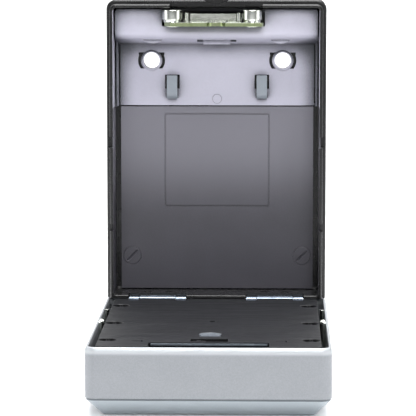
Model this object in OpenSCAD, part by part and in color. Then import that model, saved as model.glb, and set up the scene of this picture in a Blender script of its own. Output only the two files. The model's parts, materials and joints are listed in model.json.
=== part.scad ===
// Wall-mounted key lock box: a cast rear housing with a bottom-hinged door that holds a
// four-dial combination lock. The origin is at the centre of the rear mounting face, +Y points
// into the wall, -Y to the front and +Z up. The door is drawn closed and swung to its open stop.

/* [Body] */
// Width of the door shell
door_w = 105; // [104.6:0.1:106]
// Height of the housing and of the door
body_h = 146; // [145.6:0.1:147]
// Depth of the closed box, from the wall to the door's front
closed_depth = 51.5; // [51.2:0.1:53]
// Width of the rear housing
housing_w = 104.2; // [103.6:0.1:104.4]
// Depth of the rear housing's wide flange
flange_depth = 21.2; // [21:0.05:21.3]
// Depth to the front of the raised rim
rim_depth = 26; // [25.5:0.1:26]
// Thickness of the housing's back plate
back_t = 2.2; // [2:0.1:2.4]

/* [Mounting] */
// Distance between the two upper mounting holes
hole_spacing = 63; // [60:0.5:65]
// Height of the upper mounting holes above the centre
hole_z = 43.4; // [42:0.1:45]
// Radius of the mounting holes
hole_r = 3.9; // [3.6:0.1:4]
// Sideways offset of the lower knock-out holes
knockout_x = 41; // [39:0.5:41.5]
// Height of the lower knock-out holes
knockout_z = -51; // [-54:0.5:-48]

/* [Hinge] */
// Sideways offset of the two hinges
hinge_x = 28; // [26:0.5:30]
// Width of one hinge
hinge_w = 27; // [26:0.5:27]
// How far the hinge axis lies inside the door's rim plane
hinge_inset = 1.1; // [1.05:0.05:1.15]
// Radius of a hinge knuckle
knuckle_r = 1.7; // [1.6:0.05:1.7]
// Radius of the hinge pin
hinge_pin_r = 0.9; // [0.8:0.05:0.95]

/* [Door] */
// Thickness of the shell's side walls
shell_side_t = 1.5; // [1.4:0.1:1.6]
// Thickness of the shell's end walls
shell_end_t = 1.7; // [1.6:0.1:1.7]
// Radius of the shell's outer corners
shell_corner_r = 4.7; // [4:0.1:5.5]
// Size of the bevel round the door's front
bevel = 7.5; // [6.5:0.1:8]
// Width of the inner cover
cover_w = 96.2; // [95.6:0.1:96.4]

/* [Lock] */
// Sideways distance from one dial to the next
dial_pitch = 10.5; // [10.2:0.1:11]
// Radius of a number ring
dial_r = 10; // [9.6:0.1:10]
// Width of a number ring
dial_w = 7.5; // [7:0.1:7.7]
// Height of the dial axle, door closed
dial_z = 22; // [21:0.5:23]
// Distance of the dial axle from the wall, door closed
dial_y = 37; // [36.8:0.1:37.2]
// Radius of the dial axle
axle_r = 2; // [1.8:0.1:2.2]

/* [Hidden] */
$fn = 48;
eps = 0.5;
fit = 0.05;
squeeze = 0.01;

// Planes and edges shared by several pieces
half_h = body_h / 2;
plane_y = -(flange_depth + 0.3);
hinge_y = plane_y - hinge_inset;
hinge_z = -half_h + 2.9;
rim_x = 50.5;
rim_in_x = 48.9;
rim_top = half_h - 2;
rim_in_top = half_h - 3.8;
floor_z = -67.4;
relief_z = -68.85;
relief_y = -19.35;
leaf_z = -68.5;
liner_y = -5;
liner_t = 1.4;
seam_z = 21.6;
ledge_x = 48;
ledge_y = -21;
cover_y = plane_y;
cover_t = 2;
cover_x = cover_w / 2;
cover_far = -65.7;
cover_near = 68.8;
shell_in_x = door_w / 2 - shell_side_t;
shell_in_z = half_h - shell_end_t;
front_t = 2.5;
front_y = -closed_depth;
front_in_y = front_y + front_t;
well_x = 43.8;
well_z = [-44.3, 6.3, 52];
lug_x = 49.6;
lug_z = 5.6;
lug_r = 1.4;
pin_stub_x = 50;
pin_stub_z = -35;
window_x = 35;
window_z = [-52.5, 57.5];
tray_x = 38;
tray_z = [-55.5, 60.5];
tray_y = -43.9;
tray_t = 2;
axle_y = -dial_y;
base_y = -25.6;
base_t = 1.2;
latch_y = -26.9;
latch_t = 2;
tongue_x = 8.4;
post_x = [-20.7, 16.9];
pin_x = [-14.4, 10.8];
web_x = [-12.6, 10];
striker_x = [-24.4, 22.3];
striker_z = 60.8;
striker_t = 1.7;
striker_screw_x = 14;
striker_screw_z = 58.6;
notch_x = 25.8;
notch_z = 59;
hook_x = 21.5;
spring_x = 16;
bracket_y = -23.6;
bracket_t = 1.2;
bracket_screw_z = -60;
bracket_screw_dx = 6;
leaf_screw_dx = 5;
leaf_screw_y = -14;
leaf_pilot_r = 0.85;
knuckle_gap = hinge_w / 2 + 0.4;
outer_knuckle_w = 4.6;
outer_knuckle_dx = (hinge_w - outer_knuckle_w) / 2;
knob_z = 44;
post_y = -25;
post_hole_r = 2;
scoop_z = 36.3;
collar_r = 5.1;
standoff_x = 29.5;
standoff_z = [10, 50];
code_slot_z = [49.5, 56.5];
gate_x = 4.6;
gate_r = 6.6;
plug_r = 4.3;
dial_x = [for (i = [0:3]) (i - 1.5) * dial_pitch];

// Turns the door's pieces from the closed position to the open stop
module swung() {
    translate([0, hinge_y, hinge_z]) rotate([90, 0, 0]) translate([0, -hinge_y, -hinge_z]) children();
}

// A flat shape in X and Z, made solid between two distances from the wall
module slab(y_front, y_back) {
    translate([0, y_back, 0]) rotate([90, 0, 0]) linear_extrude(y_back - y_front) children();
}

// A profile in Y and Z, made solid between two X positions
module along_x(x0, x1) {
    translate([x0, 0, 0]) rotate([90, 0, 90]) linear_extrude(x1 - x0) children();
}

// A rectangle with round corners between two corner points
module rounded(low, high, r) {
    translate([low[0] + r, low[1]]) square([high[0] - low[0] - 2 * r, high[1] - low[1]]);
    translate([low[0], low[1] + r]) square([high[0] - low[0], high[1] - low[1] - 2 * r]);
    for (x = [low[0] + r, high[0] - r], z = [low[1] + r, high[1] - r]) translate([x, z]) circle(r);
}

// A cube given by its low and high corners
module block(low, high) {
    translate(low) cube(high - low);
}

// A round bar along Y between two distances from the wall
module bar_y(x, z, r, y_front, y_back) {
    translate([x, y_back, z]) rotate([90, 0, 0]) cylinder(h = y_back - y_front, r = r);
}

// A round bar along X
module bar_x(x0, x1, y, z, r) {
    translate([x0, y, z]) rotate([0, 90, 0]) cylinder(h = x1 - x0, r = r);
}

// A countersunk screw along Y with a cross recess: the head's face is at y_head
module screw(x, z, y_head, y_tip, r_head, r_shank) {
    dir = y_tip > y_head ? 1 : -1;
    head_t = r_head - r_shank;
    translate([x, y_head, z]) rotate([dir > 0 ? -90 : 90, 0, 0]) difference() {
        union() {
            cylinder(h = head_t, r1 = r_head, r2 = r_shank);
            cylinder(h = abs(y_tip - y_head), r = r_shank);
        }
        for (a = [0, 90]) rotate([0, 0, a])
            translate([-r_head * 0.62, -r_head * 0.13, -1]) cube([r_head * 1.24, r_head * 0.26, 1.6]);
    }
}

// ---- Rear housing and what is fixed in it ----

module rear_housing() {
    color([0.09, 0.09, 0.1]) difference() {
        union() {
            slab(-flange_depth, 0) rounded([-housing_w / 2, -half_h], [housing_w / 2, half_h], 4.5);
            slab(-rim_depth, -flange_depth + eps) rounded([-rim_x, -half_h], [rim_x, rim_top], 3.2);
        }
        // The tray's inside
        slab(-rim_depth - eps, -back_t) rounded([-rim_in_x, floor_z], [rim_in_x, rim_in_top], 1.6);
        // Room for the door's lower end wall, which swings in under the floor
        block([-60, -rim_depth - eps, -half_h - 1], [60, relief_y, relief_z]);
        // Slots under the floor for the hinge leaves, and gaps in the rim for the knuckles
        for (s = [-1, 1]) {
            block(
                [s * hinge_x - 8.7, -rim_depth - eps, leaf_z - 1.25],
                [s * hinge_x + 8.7, -9.9, leaf_z + 0.05]);
            for (d = [-leaf_screw_dx, leaf_screw_dx])
                translate([s * hinge_x + d, leaf_screw_y, leaf_z]) cylinder(h = 3, r = 1.9);
            block(
                [s * hinge_x - knuckle_gap, -rim_depth - eps, -70],
                [s * hinge_x + knuckle_gap, relief_y, floor_z + eps]);
        }
        // Recess over the striker, the gap in the rim there and the scallop in the flange
        block([-22, -rim_depth - eps, rim_in_top - eps], [22, -14, 70.2]);
        block([-22, -rim_depth - eps, rim_in_top - eps], [22, -flange_depth, rim_top + eps]);
        bar_y(0, 80.9, 10, -rim_depth - eps, -flange_depth + 1.2);
        // Gaps in the side rims for the door's side lugs and pin stubs
        for (s = [-1, 1]) {
            block(
                [s * (lug_x + 0.1) - 1.8, -rim_depth - eps, lug_z - 2.6],
                [s * (lug_x + 0.1) + 1.8, -flange_depth + 2.3, lug_z + 2.6]);
            block(
                [s * (lug_x + 0.1) - 1.8, -rim_depth - eps, pin_stub_z - 1.8],
                [s * (lug_x + 0.1) + 1.8, -flange_depth, pin_stub_z + 1.8]);
        }
        // Mounting holes and the holes behind the knock-out plugs
        for (s = [-1, 1]) {
            bar_y(s * hole_spacing / 2, hole_z, hole_r, -back_t - 1, 1);
            bar_y(s * knockout_x, knockout_z, hole_r, -back_t - 1, 1);
            bar_y(s * striker_screw_x, striker_screw_z, 1.3, -back_t - 1, 1);
            bar_y(s * striker_screw_x, striker_screw_z, 2.6, -1.2, 1);
        }
        // Screw holes under the hinge leaves
        for (s = [-1, 1], d = [-leaf_screw_dx, leaf_screw_dx])
            translate([s * hinge_x + d, leaf_screw_y, -72.4]) cylinder(h = 5, r = leaf_pilot_r);
        // Shallow relief pockets on the wall side
        for (s = [-1, 1]) slab(-0.7, 1) difference() {
            rounded([s > 0 ? 9 : -45, -64], [s > 0 ? 45 : -9, 66], 4);
            translate([s * hole_spacing / 2, hole_z]) circle(8);
            translate([s * knockout_x, knockout_z]) circle(8);
            translate([s * striker_screw_x, striker_screw_z]) circle(5.2);
        }
    }
}

// Outline of the ledge in Y and Z: a flat face, a rounded lower edge and a sloping underside
module ledge_outline(inset) {
    r = 3.6 - inset;
    back = -back_t - 0.3 + inset;
    difference() {
        polygon([
            [back, 68.4 - inset], [ledge_y + inset, 68.4 - inset], [ledge_y + inset, 54.2 + inset],
            [ledge_y + 3.6, 54.2 + inset], [liner_y, 51.2 + inset], [back, 51.2 + inset]
        ]);
        translate([ledge_y + 3.6, 57.8]) difference() {
            translate([-5, -5]) square(5);
            circle(r);
        }
    }
}

module mounting_ring_2d() {
    difference() {
        circle(6.5);
        circle(collar_r);
        translate([-8, -12]) square([16, 8.1]);
        translate([-8, 3.9]) square([16, 8]);
    }
}

module upper_liner() {
    hole_x = hole_spacing / 2;
    color([0.75, 0.75, 0.81]) difference() {
        union() {
            slab(liner_y, liner_y + liner_t) rounded([-46.5, seam_z + 0.3], [46.5, 60], 0.4);
            for (s = [-1, 1]) {
                bar_y(s * hole_x, hole_z, collar_r, liner_y, -back_t);
                translate([s * hole_x, liner_y + 0.1, hole_z]) rotate([90, 0, 0])
                    cylinder(h = 0.7, r1 = collar_r, r2 = 4.4);
            }
            bar_y(0, 25, 2.1, liner_y - 0.45, liner_y + eps);
            // Side walls beside the plate, hanging from the ledge and tied to the plate by a rib at the foot
            for (s = [-1, 1]) {
                block([s * 47.6 - 0.4, -12, seam_z + 0.3], [s * 47.6 + 0.4, -back_t - 0.1, 54]);
                block([s * 45.9 - 2, liner_y + 1, seam_z + 0.3], [s * 45.9 + 2, -back_t - 0.1, seam_z + 1.1]);
            }
            difference() {
                along_x(-ledge_x, ledge_x) ledge_outline(0);
                along_x(-ledge_x + 1.4, ledge_x - 1.4) ledge_outline(1.4);
            }
            // Shallow rounded bosses under the ledge, over each mounting hole
            for (s = [-1, 1]) slab(-16, -9) translate([s * hole_x * 0.965, 59.4]) intersection() {
                circle(7.3);
                translate([-8, -8]) square([16, 5]);
            }
            // Tongue of the snap at the middle of the ledge
            block([-6.4, -14.4, 51.6], [6.4, -12.6, 55]);
        }
        for (s = [-1, 1]) {
            bar_y(s * hole_x, hole_z, hole_r, liner_y - 1, 0);
            slab(liner_y - 1, liner_y + liner_t + 0.05) translate([s * hole_x, hole_z]) mounting_ring_2d();
            for (d = [-1, 1]) block(
                [s * hole_x + d * 5.3 - 0.9, liner_y - 1, hole_z + 2.6],
                [s * hole_x + d * 5.3 + 0.9, liner_y + liner_t, hole_z + 3.9]);
            // Windows behind the hooks
            block([s * hook_x - 3.5, liner_y - 1, 29.8], [s * hook_x + 3.5, liner_y + liner_t + 1, 36.6]);
            block([s * hook_x - 2.6, liner_y - 1, 25.5], [s * hook_x + 2.6, liner_y + liner_t + 1, 27.9]);
        }
        // Snap slot beside the tongue
        for (s = [-1, 1]) block([s * 7.9 - 1.4, -19, 51.4], [s * 7.9 + 1.4, -11, 53.9]);
        // Opening for the striker
        block([-25.8, ledge_y - 1, 60.4], [23, ledge_y + 2, 70]);
        block([-22, -19.5, 66.4], [22, -6, 70]);
        // Corners of the ledge, rounded in the front view
        for (s = [-1, 1]) slab(ledge_y - 1, -1) translate([s * ledge_x, 68.4]) difference() {
            square(3, center = true);
            translate([-s * 1.5, -1.5]) circle(1.5);
        }
    }
}

// Outline of a frame between two rounded rectangles
module frame_2d(low, high, r, t) {
    difference() {
        rounded(low, high, r);
        rounded([low[0] + t, low[1] + t], [high[0] - t, high[1] - t], max(r - t, 0.3));
    }
}

module lower_liner() {
    top = seam_z - 0.3;
    color([0.36, 0.36, 0.39]) difference() {
        union() {
            slab(liner_y, liner_y + liner_t) rounded([-46.3, -67], [46.3, top], 0.4);
            slab(liner_y + 1, -back_t) frame_2d([-45.8, -66.6], [45.8, top - 0.4], 1, 1.6);
            for (s = [-1, 1]) bar_y(s * knockout_x, knockout_z, plug_r + 1, liner_y + 1, -back_t);
        }
        for (s = [-1, 1]) bar_y(s * knockout_x, knockout_z, plug_r + fit, liner_y - 1, 0);
        // Fine groove round the label field
        slab(liner_y - 1, liner_y + 0.45) frame_2d([-25.2, -27], [25.2, 18], 1.2, 0.5);
    }
}

module key_hooks() {
    root_z = 25.2;
    top = 36.6;
    front = liner_y - 5;
    tab_t = 1.7;
    bend = 2.6;
    color([0.68, 0.71, 0.76]) for (s = [-1, 1]) along_x(s * hook_x - 2.5, s * hook_x + 2.5) {
        difference() {
            polygon([
                [liner_y, root_z], [front, root_z], [front, top - 0.4], [front + 0.4, top],
                [front + tab_t - 0.4, top], [front + tab_t, top - 0.4],
                [front + tab_t, root_z + 3], [liner_y, root_z + 3]
            ]);
            translate([front + bend, root_z + bend]) difference() {
                translate([-bend - 1, -bend - 1]) square(bend + 1);
                circle(bend);
            }
        }
        translate([liner_y - 0.1, root_z + 0.4]) square([liner_t + 0.8, 2.2]);
    }
}

module knockout_plugs() {
    color([0.33, 0.33, 0.36]) for (s = [-1, 1]) difference() {
        bar_y(s * knockout_x, knockout_z, plug_r, liner_y - 0.1, -back_t);
        translate([s * knockout_x, liner_y, knockout_z]) rotate([0, -45, 0])
            block([-3.2, -0.6, -0.35], [3.2, 0.5, 0.35]);
    }
}

module striker_plate() {
    z0 = striker_z;
    color([0.8, 0.82, 0.76]) difference() {
        union() {
            // Flat plate with cut front corners
            translate([0, 0, z0]) linear_extrude(striker_t) polygon([
                [-22, -back_t], [striker_x[0], -6], [striker_x[0], -25], [-21.5, -31],
                [21.5, -31], [striker_x[1], -29], [striker_x[1], -6], [20, -back_t]
            ]);
            // Web bent up across the plate
            block([web_x[0], -14.2, z0 + eps], [web_x[1], -13, 66.1]);
            // Foot against the back plate
            block([-20, -back_t - 1.2, striker_screw_z - 2.4], [20, -back_t, z0 + eps]);
        }
        // Scallop in the front edge
        translate([0, -32.6, z0 - 1]) cylinder(h = 4, r = 4.6);
        for (s = [-1, 1]) {
            // Windows for the latch tongues
            block([s * tongue_x - 3.6, -29.7, z0 - 1], [s * tongue_x + 3.6, -26.1, z0 + striker_t + 1]);
            bar_y(s * striker_screw_x, striker_screw_z, 1.3, -back_t - 2, 0);
        }
        for (x = post_x) translate([x, post_y, z0 - 1]) cylinder(h = 4, r = post_hole_r);
    }
}

module striker_posts() {
    top = striker_z + striker_t;
    color([0.9, 0.91, 0.88]) {
        for (x = post_x) translate([x, post_y, 0]) {
            translate([0, 0, striker_z - 0.5]) cylinder(h = 0.5, r = 2.9);
            translate([0, 0, striker_z - 0.2]) cylinder(h = 3, r = post_hole_r - squeeze);
            translate([0, 0, top]) cylinder(h = 1.5, r = 4.1);
            translate([0, 0, top + 1.3]) cylinder(h = 4.5, r = 4.7);
        }
        for (x = pin_x) translate([x, -18, top]) cylinder(h = 4.2, r = 1.5);
    }
}

module striker_screws() {
    color([0.62, 0.63, 0.64]) for (s = [-1, 1]) {
        bar_y(s * striker_screw_x, striker_screw_z, 1.25, -back_t - 1.2, -0.5);
        difference() {
            bar_y(s * striker_screw_x, striker_screw_z, 2.4, -1.2, -0.2);
            block(
                [s * striker_screw_x - 1.8, -0.7, striker_screw_z - 0.3],
                [s * striker_screw_x + 1.8, 0.2, striker_screw_z + 0.3]);
        }
    }
}

// ---- Hinges ----

// Steel leaves fixed to the housing floor, each with the middle knuckle of its hinge
module hinge_leaves() {
    leaf_w = 17.2;
    back_y = hinge_y + 1.3;
    color([0.72, 0.74, 0.76]) for (s = [-1, 1]) difference() {
        union() {
            bar_x(s * hinge_x - leaf_w / 2, s * hinge_x + leaf_w / 2, hinge_y, hinge_z, knuckle_r);
            block([s * hinge_x - leaf_w / 2, back_y, leaf_z - 1.2], [s * hinge_x + leaf_w / 2, -10, leaf_z]);
            block(
                [s * hinge_x - leaf_w / 2, back_y, hinge_z - 0.6],
                [s * hinge_x + leaf_w / 2, back_y + 1, leaf_z]);
        }
        bar_x(s * hinge_x - 10, s * hinge_x + 10, hinge_y, hinge_z, hinge_pin_r - squeeze);
        for (d = [-leaf_screw_dx, leaf_screw_dx])
            translate([s * hinge_x + d, leaf_screw_y, -72]) cylinder(h = 8, r = leaf_pilot_r);
    }
}

module leaf_screws() {
    tip_z = -72.3;
    color([0.6, 0.61, 0.62]) for (s = [-1, 1], d = [-leaf_screw_dx, leaf_screw_dx])
            translate([s * hinge_x + d, leaf_screw_y, 0]) {
        translate([0, 0, tip_z]) cylinder(h = leaf_z - tip_z + 0.2, r = leaf_pilot_r - fit);
        translate([0, 0, leaf_z]) difference() {
            cylinder(h = 0.7, r = 1.7);
            block([-1.2, -0.2, 0.35], [1.2, 0.2, 1]);
        }
    }
}

module hinge_pins() {
    reach = hinge_w / 2 + 0.2;
    color([0.7, 0.71, 0.72]) for (s = [-1, 1])
        bar_x(s * hinge_x - reach, s * hinge_x + reach, hinge_y, hinge_z, hinge_pin_r);
}

// ---- Door ----

// The door's outer form, or its inside when made smaller
module door_form(x, z, r, depth_y, nose_x, nose_z, nose_y, nose_r) {
    hull() {
        slab(depth_y, plane_y) rounded([-x, -z], [x, z], r, $fn = 32);
        slab(nose_y, nose_y + 0.02) rounded([-nose_x, -nose_z], [nose_x, nose_z], nose_r, $fn = 32);
    }
}

module door_shell() {
    inner_nose = bevel + 0.33;
    color([0.68, 0.71, 0.74]) swung() {
        difference() {
            door_form(
                door_w / 2, half_h, shell_corner_r, front_y + bevel,
                door_w / 2 - bevel, half_h - bevel, front_y, 1);
            translate([0, 0.01, 0]) door_form(
                shell_in_x, shell_in_z, shell_corner_r - 1.5, front_y + bevel + 1.35,
                door_w / 2 - inner_nose, half_h - inner_nose, front_in_y, 1);
            // Window for the shutter and the dials
            slab(front_y - 1, front_in_y + 1) rounded([-window_x, window_z[0]], [window_x, window_z[1]], 2);
            // Gaps for the hinge knuckles
            for (s = [-1, 1])
                block(
                    [s * hinge_x - knuckle_gap, -25, -half_h - 1],
                    [s * hinge_x + knuckle_gap, plane_y + 1, -half_h + 2.2]);
        }
        // Bosses for the cover screws and for the lock chassis
        for (s = [-1, 1]) {
            for (z = well_z) difference() {
                bar_y(s * well_x, z, 3, front_in_y - 1, -27.2);
                bar_y(s * well_x, z, 1.2, -40, -26);
            }
            // Stubs inside the lower corners
            bar_y(s * 49.9, -66.3, 0.9, -50, -26.4);
            for (d = [-bracket_screw_dx, bracket_screw_dx]) difference() {
                bar_y(s * hinge_x + d, bracket_screw_z, 2.6, front_in_y - 1, bracket_y - bracket_t);
                bar_y(s * hinge_x + d, bracket_screw_z, 0.95, -40, bracket_y);
            }
        }
    }
}

module inner_cover() {
    back = cover_y - cover_t;
    color([0.25, 0.26, 0.28]) swung() difference() {
        union() {
            slab(back, cover_y) rounded([-cover_x, cover_far], [cover_x, cover_near], 1.2);
            // Tongues over the middle knuckles
            for (s = [-1, 1])
                block(
                    [s * hinge_x - 8.75, back, hinge_z + 1.95],
                    [s * hinge_x + 8.75, cover_y, cover_far + 2]);
            // Side skirts and the skirt at the top edge
            for (s = [-1, 1]) {
                block([s * (cover_x - 0.6) - 0.6, -30, -58], [s * (cover_x - 0.6) + 0.6, back + eps, 66]);
                block([s * 36.6 - 9.5, -30, cover_near - 1.2], [s * 36.6 + 9.5, back + eps, cover_near]);
                for (z = well_z) bar_y(s * well_x, z, 4.25, -27.1, back + eps);
            }
        }
        for (s = [-1, 1]) {
            for (z = well_z) {
                bar_y(s * well_x, z, 3.75, -25.9, cover_y + 1);
                bar_y(s * well_x, z, 1.35, -28, -25);
            }
            // Gaps for the outer knuckles of each hinge
            for (d = [-outer_knuckle_dx, outer_knuckle_dx]) block(
                [s * hinge_x + d - 2.5, back - 1, -67],
                [s * hinge_x + d + 2.5, cover_y + 1, -60.4]);
        }
        // Notch for the striker, open at the top edge
        block([-notch_x, -31, notch_z], [notch_x, cover_y + 1, cover_near + 1]);
        // Code change slot
        block([-8.1, back - 1, code_slot_z[0]], [8.1, cover_y + 1, code_slot_z[1]]);
        // Finger scoop
        translate([0, cover_y + 0.01, scoop_z]) rotate([90, 0, 0]) cylinder(h = 0.91, r1 = 5.2, r2 = 4);
        slab(cover_y - 0.9, cover_y + 1) translate([-4.6, scoop_z]) square([9.2, 6.4]);
        bar_y(0, 1.3, 1.35, cover_y - 0.5, cover_y + 1);
        // Two small corner marks beside the code change slot
        for (s = [-1, 1]) {
            block([s * 31 - 2.4, cover_y - 0.3, 54], [s * 31 + 2.4, cover_y + 1, 54.7]);
            block([s * 31 + 1.7, cover_y - 0.3, 54], [s * 31 + 2.4, cover_y + 1, 58]);
        }
    }
}

module cover_screws() {
    color([0.3, 0.3, 0.32]) swung() for (s = [-1, 1], z = well_z) difference() {
        union() {
            bar_y(s * well_x, z, 2.3, -25.9, -22.5);
            translate([s * well_x, -22.6, z]) rotate([-90, 0, 0]) cylinder(h = 0.9, r1 = 1.5, r2 = 0.9);
            bar_y(s * well_x, z, 1.15, -37, -25.5);
        }
        translate([s * well_x, -21.7, z]) for (a = [0, 90]) rotate([0, a, 0])
            block([-1.5, -0.9, -0.3], [1.5, 1, 0.3]);
    }
}

// Steel brackets on the door, each with the two outer knuckles of its hinge
module hinge_brackets() {
    y0 = bracket_y - bracket_t;
    color([0.76, 0.79, 0.81]) swung() for (s = [-1, 1]) difference() {
        union() {
            block(
                [s * hinge_x - hinge_w / 2, y0, hinge_z + 2.1],
                [s * hinge_x + hinge_w / 2, bracket_y, -48.7]);
            for (d = [-outer_knuckle_dx, outer_knuckle_dx]) {
                x0 = s * hinge_x + d - outer_knuckle_w / 2;
                bar_x(x0, x0 + outer_knuckle_w, hinge_y, hinge_z, knuckle_r);
                block([x0, y0, hinge_z], [x0 + outer_knuckle_w, hinge_y + 0.9, -60.6]);
            }
        }
        bar_x(s * hinge_x - 20, s * hinge_x + 20, hinge_y, hinge_z, hinge_pin_r + fit);
        // Trims the ends of the pads to the knuckles' circle
        for (d = [-outer_knuckle_dx, outer_knuckle_dx]) block(
            [s * hinge_x + d - 3, y0 - 2, hinge_z - 3],
            [s * hinge_x + d + 3, hinge_y - knuckle_r, hinge_z + 1.2]);
        for (d = [-bracket_screw_dx, bracket_screw_dx]) {
            bar_y(s * hinge_x + d, bracket_screw_z, 0.95, y0 - 1, bracket_y + 1);
            translate([s * hinge_x + d, bracket_y + 0.01, bracket_screw_z])
                rotate([90, 0, 0]) cylinder(h = 0.85, r1 = 1.8, r2 = 0.95);
        }
    }
}

module bracket_screws() {
    color([0.6, 0.61, 0.62]) swung() for (s = [-1, 1], d = [-bracket_screw_dx, bracket_screw_dx])
        screw(s * hinge_x + d, bracket_screw_z, bracket_y - 0.08, -36, 1.65, 0.88);
}

// Bright lugs in the gaps beside the cover, which enter the rim's gaps, and a smaller stub beside each
module side_lugs() {
    tip_y = plane_y + 0.8;
    color([0.88, 0.89, 0.86]) swung() for (s = [-1, 1]) {
        bar_y(s * lug_x, lug_z, lug_r, -34, tip_y);
        translate([s * lug_x, tip_y, lug_z]) rotate([-90, 0, 0]) cylinder(h = 0.8, r1 = lug_r, r2 = 0.7);
        bar_y(s * pin_stub_x, pin_stub_z, 1, -34, plane_y - 0.3);
    }
}

// ---- Lock ----

module dial_fascia() {
    color([0.11, 0.11, 0.12]) swung() difference() {
        union() {
            slab(tray_y - tray_t, tray_y) rounded([-tray_x, tray_z[0]], [tray_x, tray_z[1]], 2.5);
            slab(front_in_y + 0.05, tray_y - eps) frame_2d([-tray_x, tray_z[0]], [tray_x, tray_z[1]], 2.5, 2);
            for (s = [-1, 1], z = standoff_z) bar_y(s * standoff_x, z, 2.6, tray_y - eps, base_y - base_t);
        }
        for (x = dial_x) block(
            [x - dial_w / 2 - 0.4, tray_y - tray_t - 1, dial_z - 7.9],
            [x + dial_w / 2 + 0.4, tray_y + 1, dial_z + 7.9]);
        block([-3.4, tray_y - tray_t - 1, knob_z - 7.4], [3.4, tray_y + 1, knob_z + 2.4]);
        for (s = [-1, 1], z = standoff_z) bar_y(s * standoff_x, z, 1.1, -41, base_y);
        // Index groove beside the dials
        for (s = [-1, 1]) block(
            [s * 26 - 2.5, tray_y - tray_t - 1, dial_z - 0.3],
            [s * 26 + 2.5, tray_y - tray_t + 0.35, dial_z + 0.3]);
    }
}

module lock_chassis() {
    y0 = base_y - base_t;
    cheek_x = 27.6;
    color([0.74, 0.76, 0.77]) swung() difference() {
        union() {
            slab(y0, base_y) rounded([-33, 5], [33, 59.4], 2);
            // Lip that shows at the striker notch
            block([-25, y0, 59.1], [25, cover_y - 0.4, 59.8]);
            // Cheeks that carry the axle
            for (s = [-1, 1]) {
                block([s * cheek_x - 0.6, -42.5, 14], [s * cheek_x + 0.6, y0 + eps, 38]);
                // Guide rails for the latch slide
                block([s * 24 - 1.7, -30.4, 38.5], [s * 24 + 1.7, y0 + eps, 57.5]);
                block([s * 21 - 1.4, -30.4, 38.5], [s * 21 + 1.4, -29.2, 57.5]);
                block([s * 23 - 1.2, -30.4, 38.5], [s * 23 + 1.2, -29.2, 57.5]);
                // Tab under each latch spring
                block([s * spring_x - 1.8, -30, 41], [s * spring_x + 1.8, y0 + eps, 42.2]);
            }
        }
        for (s = [-1, 1]) {
            bar_x(s * cheek_x - 2, s * cheek_x + 2, axle_y, dial_z, axle_r - squeeze);
            block([s * cheek_x - 2, -39.3, 32.3], [s * cheek_x + 2, -34.7, 36.8]);
            block([s * spring_x - 2.4, y0 - 0.2, 42.3], [s * spring_x + 2.4, base_y + 1, 55]);
            for (z = standoff_z) bar_y(s * standoff_x, z, 1.15, y0 - 1, base_y + 1);
        }
        // Opening behind the knob screw
        block([-4.5, y0 - 1, 36], [4.5, base_y + 1, 50]);
    }
}

module chassis_screws() {
    color([0.6, 0.61, 0.62]) swung() for (s = [-1, 1], z = standoff_z) difference() {
        union() {
            bar_y(s * standoff_x, z, 2.1, base_y, base_y + 1.2);
            bar_y(s * standoff_x, z, 1.05, -38, base_y + eps);
        }
        translate([s * standoff_x, base_y + 1.2, z]) for (a = [0, 90]) rotate([0, a, 0])
            block([-1.3, -0.7, -0.25], [1.3, 1, 0.25]);
    }
}

module dial_axle() {
    color([0.7, 0.71, 0.72]) swung() bar_x(-28.8, 28.8, axle_y, dial_z, axle_r);
}

// Comb of four sprung fingers under the number rings
module detent_comb() {
    color([0.66, 0.66, 0.62]) swung() {
        along_x(-24, 24) polygon([[-27.6, 5.4], [-26.8, 5.4], [-26.8, 8], [-27.6, 8]]);
        for (x = dial_x) along_x(x - 1.8, x + 1.8)
            polygon([[-27.2, 5.6], [-27.2, 6.4], [-36.6, 11.4], [-38.2, 11.4], [-38.2, 10.8], [-36.8, 10.8]]);
    }
}

// Bar whose teeth drop into the gates when the code is set
module fence_bar() {
    color([0.72, 0.6, 0.34]) swung() {
        block([-29, -38.6, 32.6], [29, -35.4, 33.8]);
        for (x = dial_x)
            block([x + gate_x + 0.05, -37.6, dial_z + gate_r + 0.3], [x + gate_x + 1.25, -36.4, 33]);
    }
}

// Leaf spring that presses on the fence bar
module fence_spring() {
    color([0.62, 0.63, 0.64]) swung() for (s = [-1, 1]) along_x(s * 13 - 8, s * 13 + 8)
        polygon([[-37.8, 33.85], [-37.4, 33.85], [-36.8, 36.1], [-35.6, 36.1], [-35.6, 36.5], [-37.1, 36.5]]);
}

// One wire coil along Z, as rings of points joined into a closed tube
module coil(turns, mean_r, wire_r, length) {
    steps = 12;
    sides = 6;
    rings = turns * steps;
    points = [for (i = [0:rings]) let (a = 360 * i / steps) for (j = [0:sides - 1])
        let (b = 360 * j / sides, r = mean_r + wire_r * cos(b))
        [r * cos(a), r * sin(a), wire_r + (length - 2 * wire_r) * i / rings + wire_r * sin(b)]];
    skin = [for (i = [0:rings - 1], j = [0:sides - 1])
        let (k = (j + 1) % sides, p = i * sides, q = p + sides) each [
            [p + j, q + j, q + k], [p + j, q + k, p + k]]];
    ends = [[for (j = [0:sides - 1]) j], [for (j = [sides - 1:-1:0]) rings * sides + j]];
    polyhedron(points, concat(skin, ends));
}

module latch_springs() {
    color([0.75, 0.76, 0.77]) swung() for (s = [-1, 1])
        translate([s * spring_x, latch_y - latch_t / 2, 42.35]) coil(7, 1.6, 0.25, 11.6);
}

// ---- Dials ----

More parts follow.
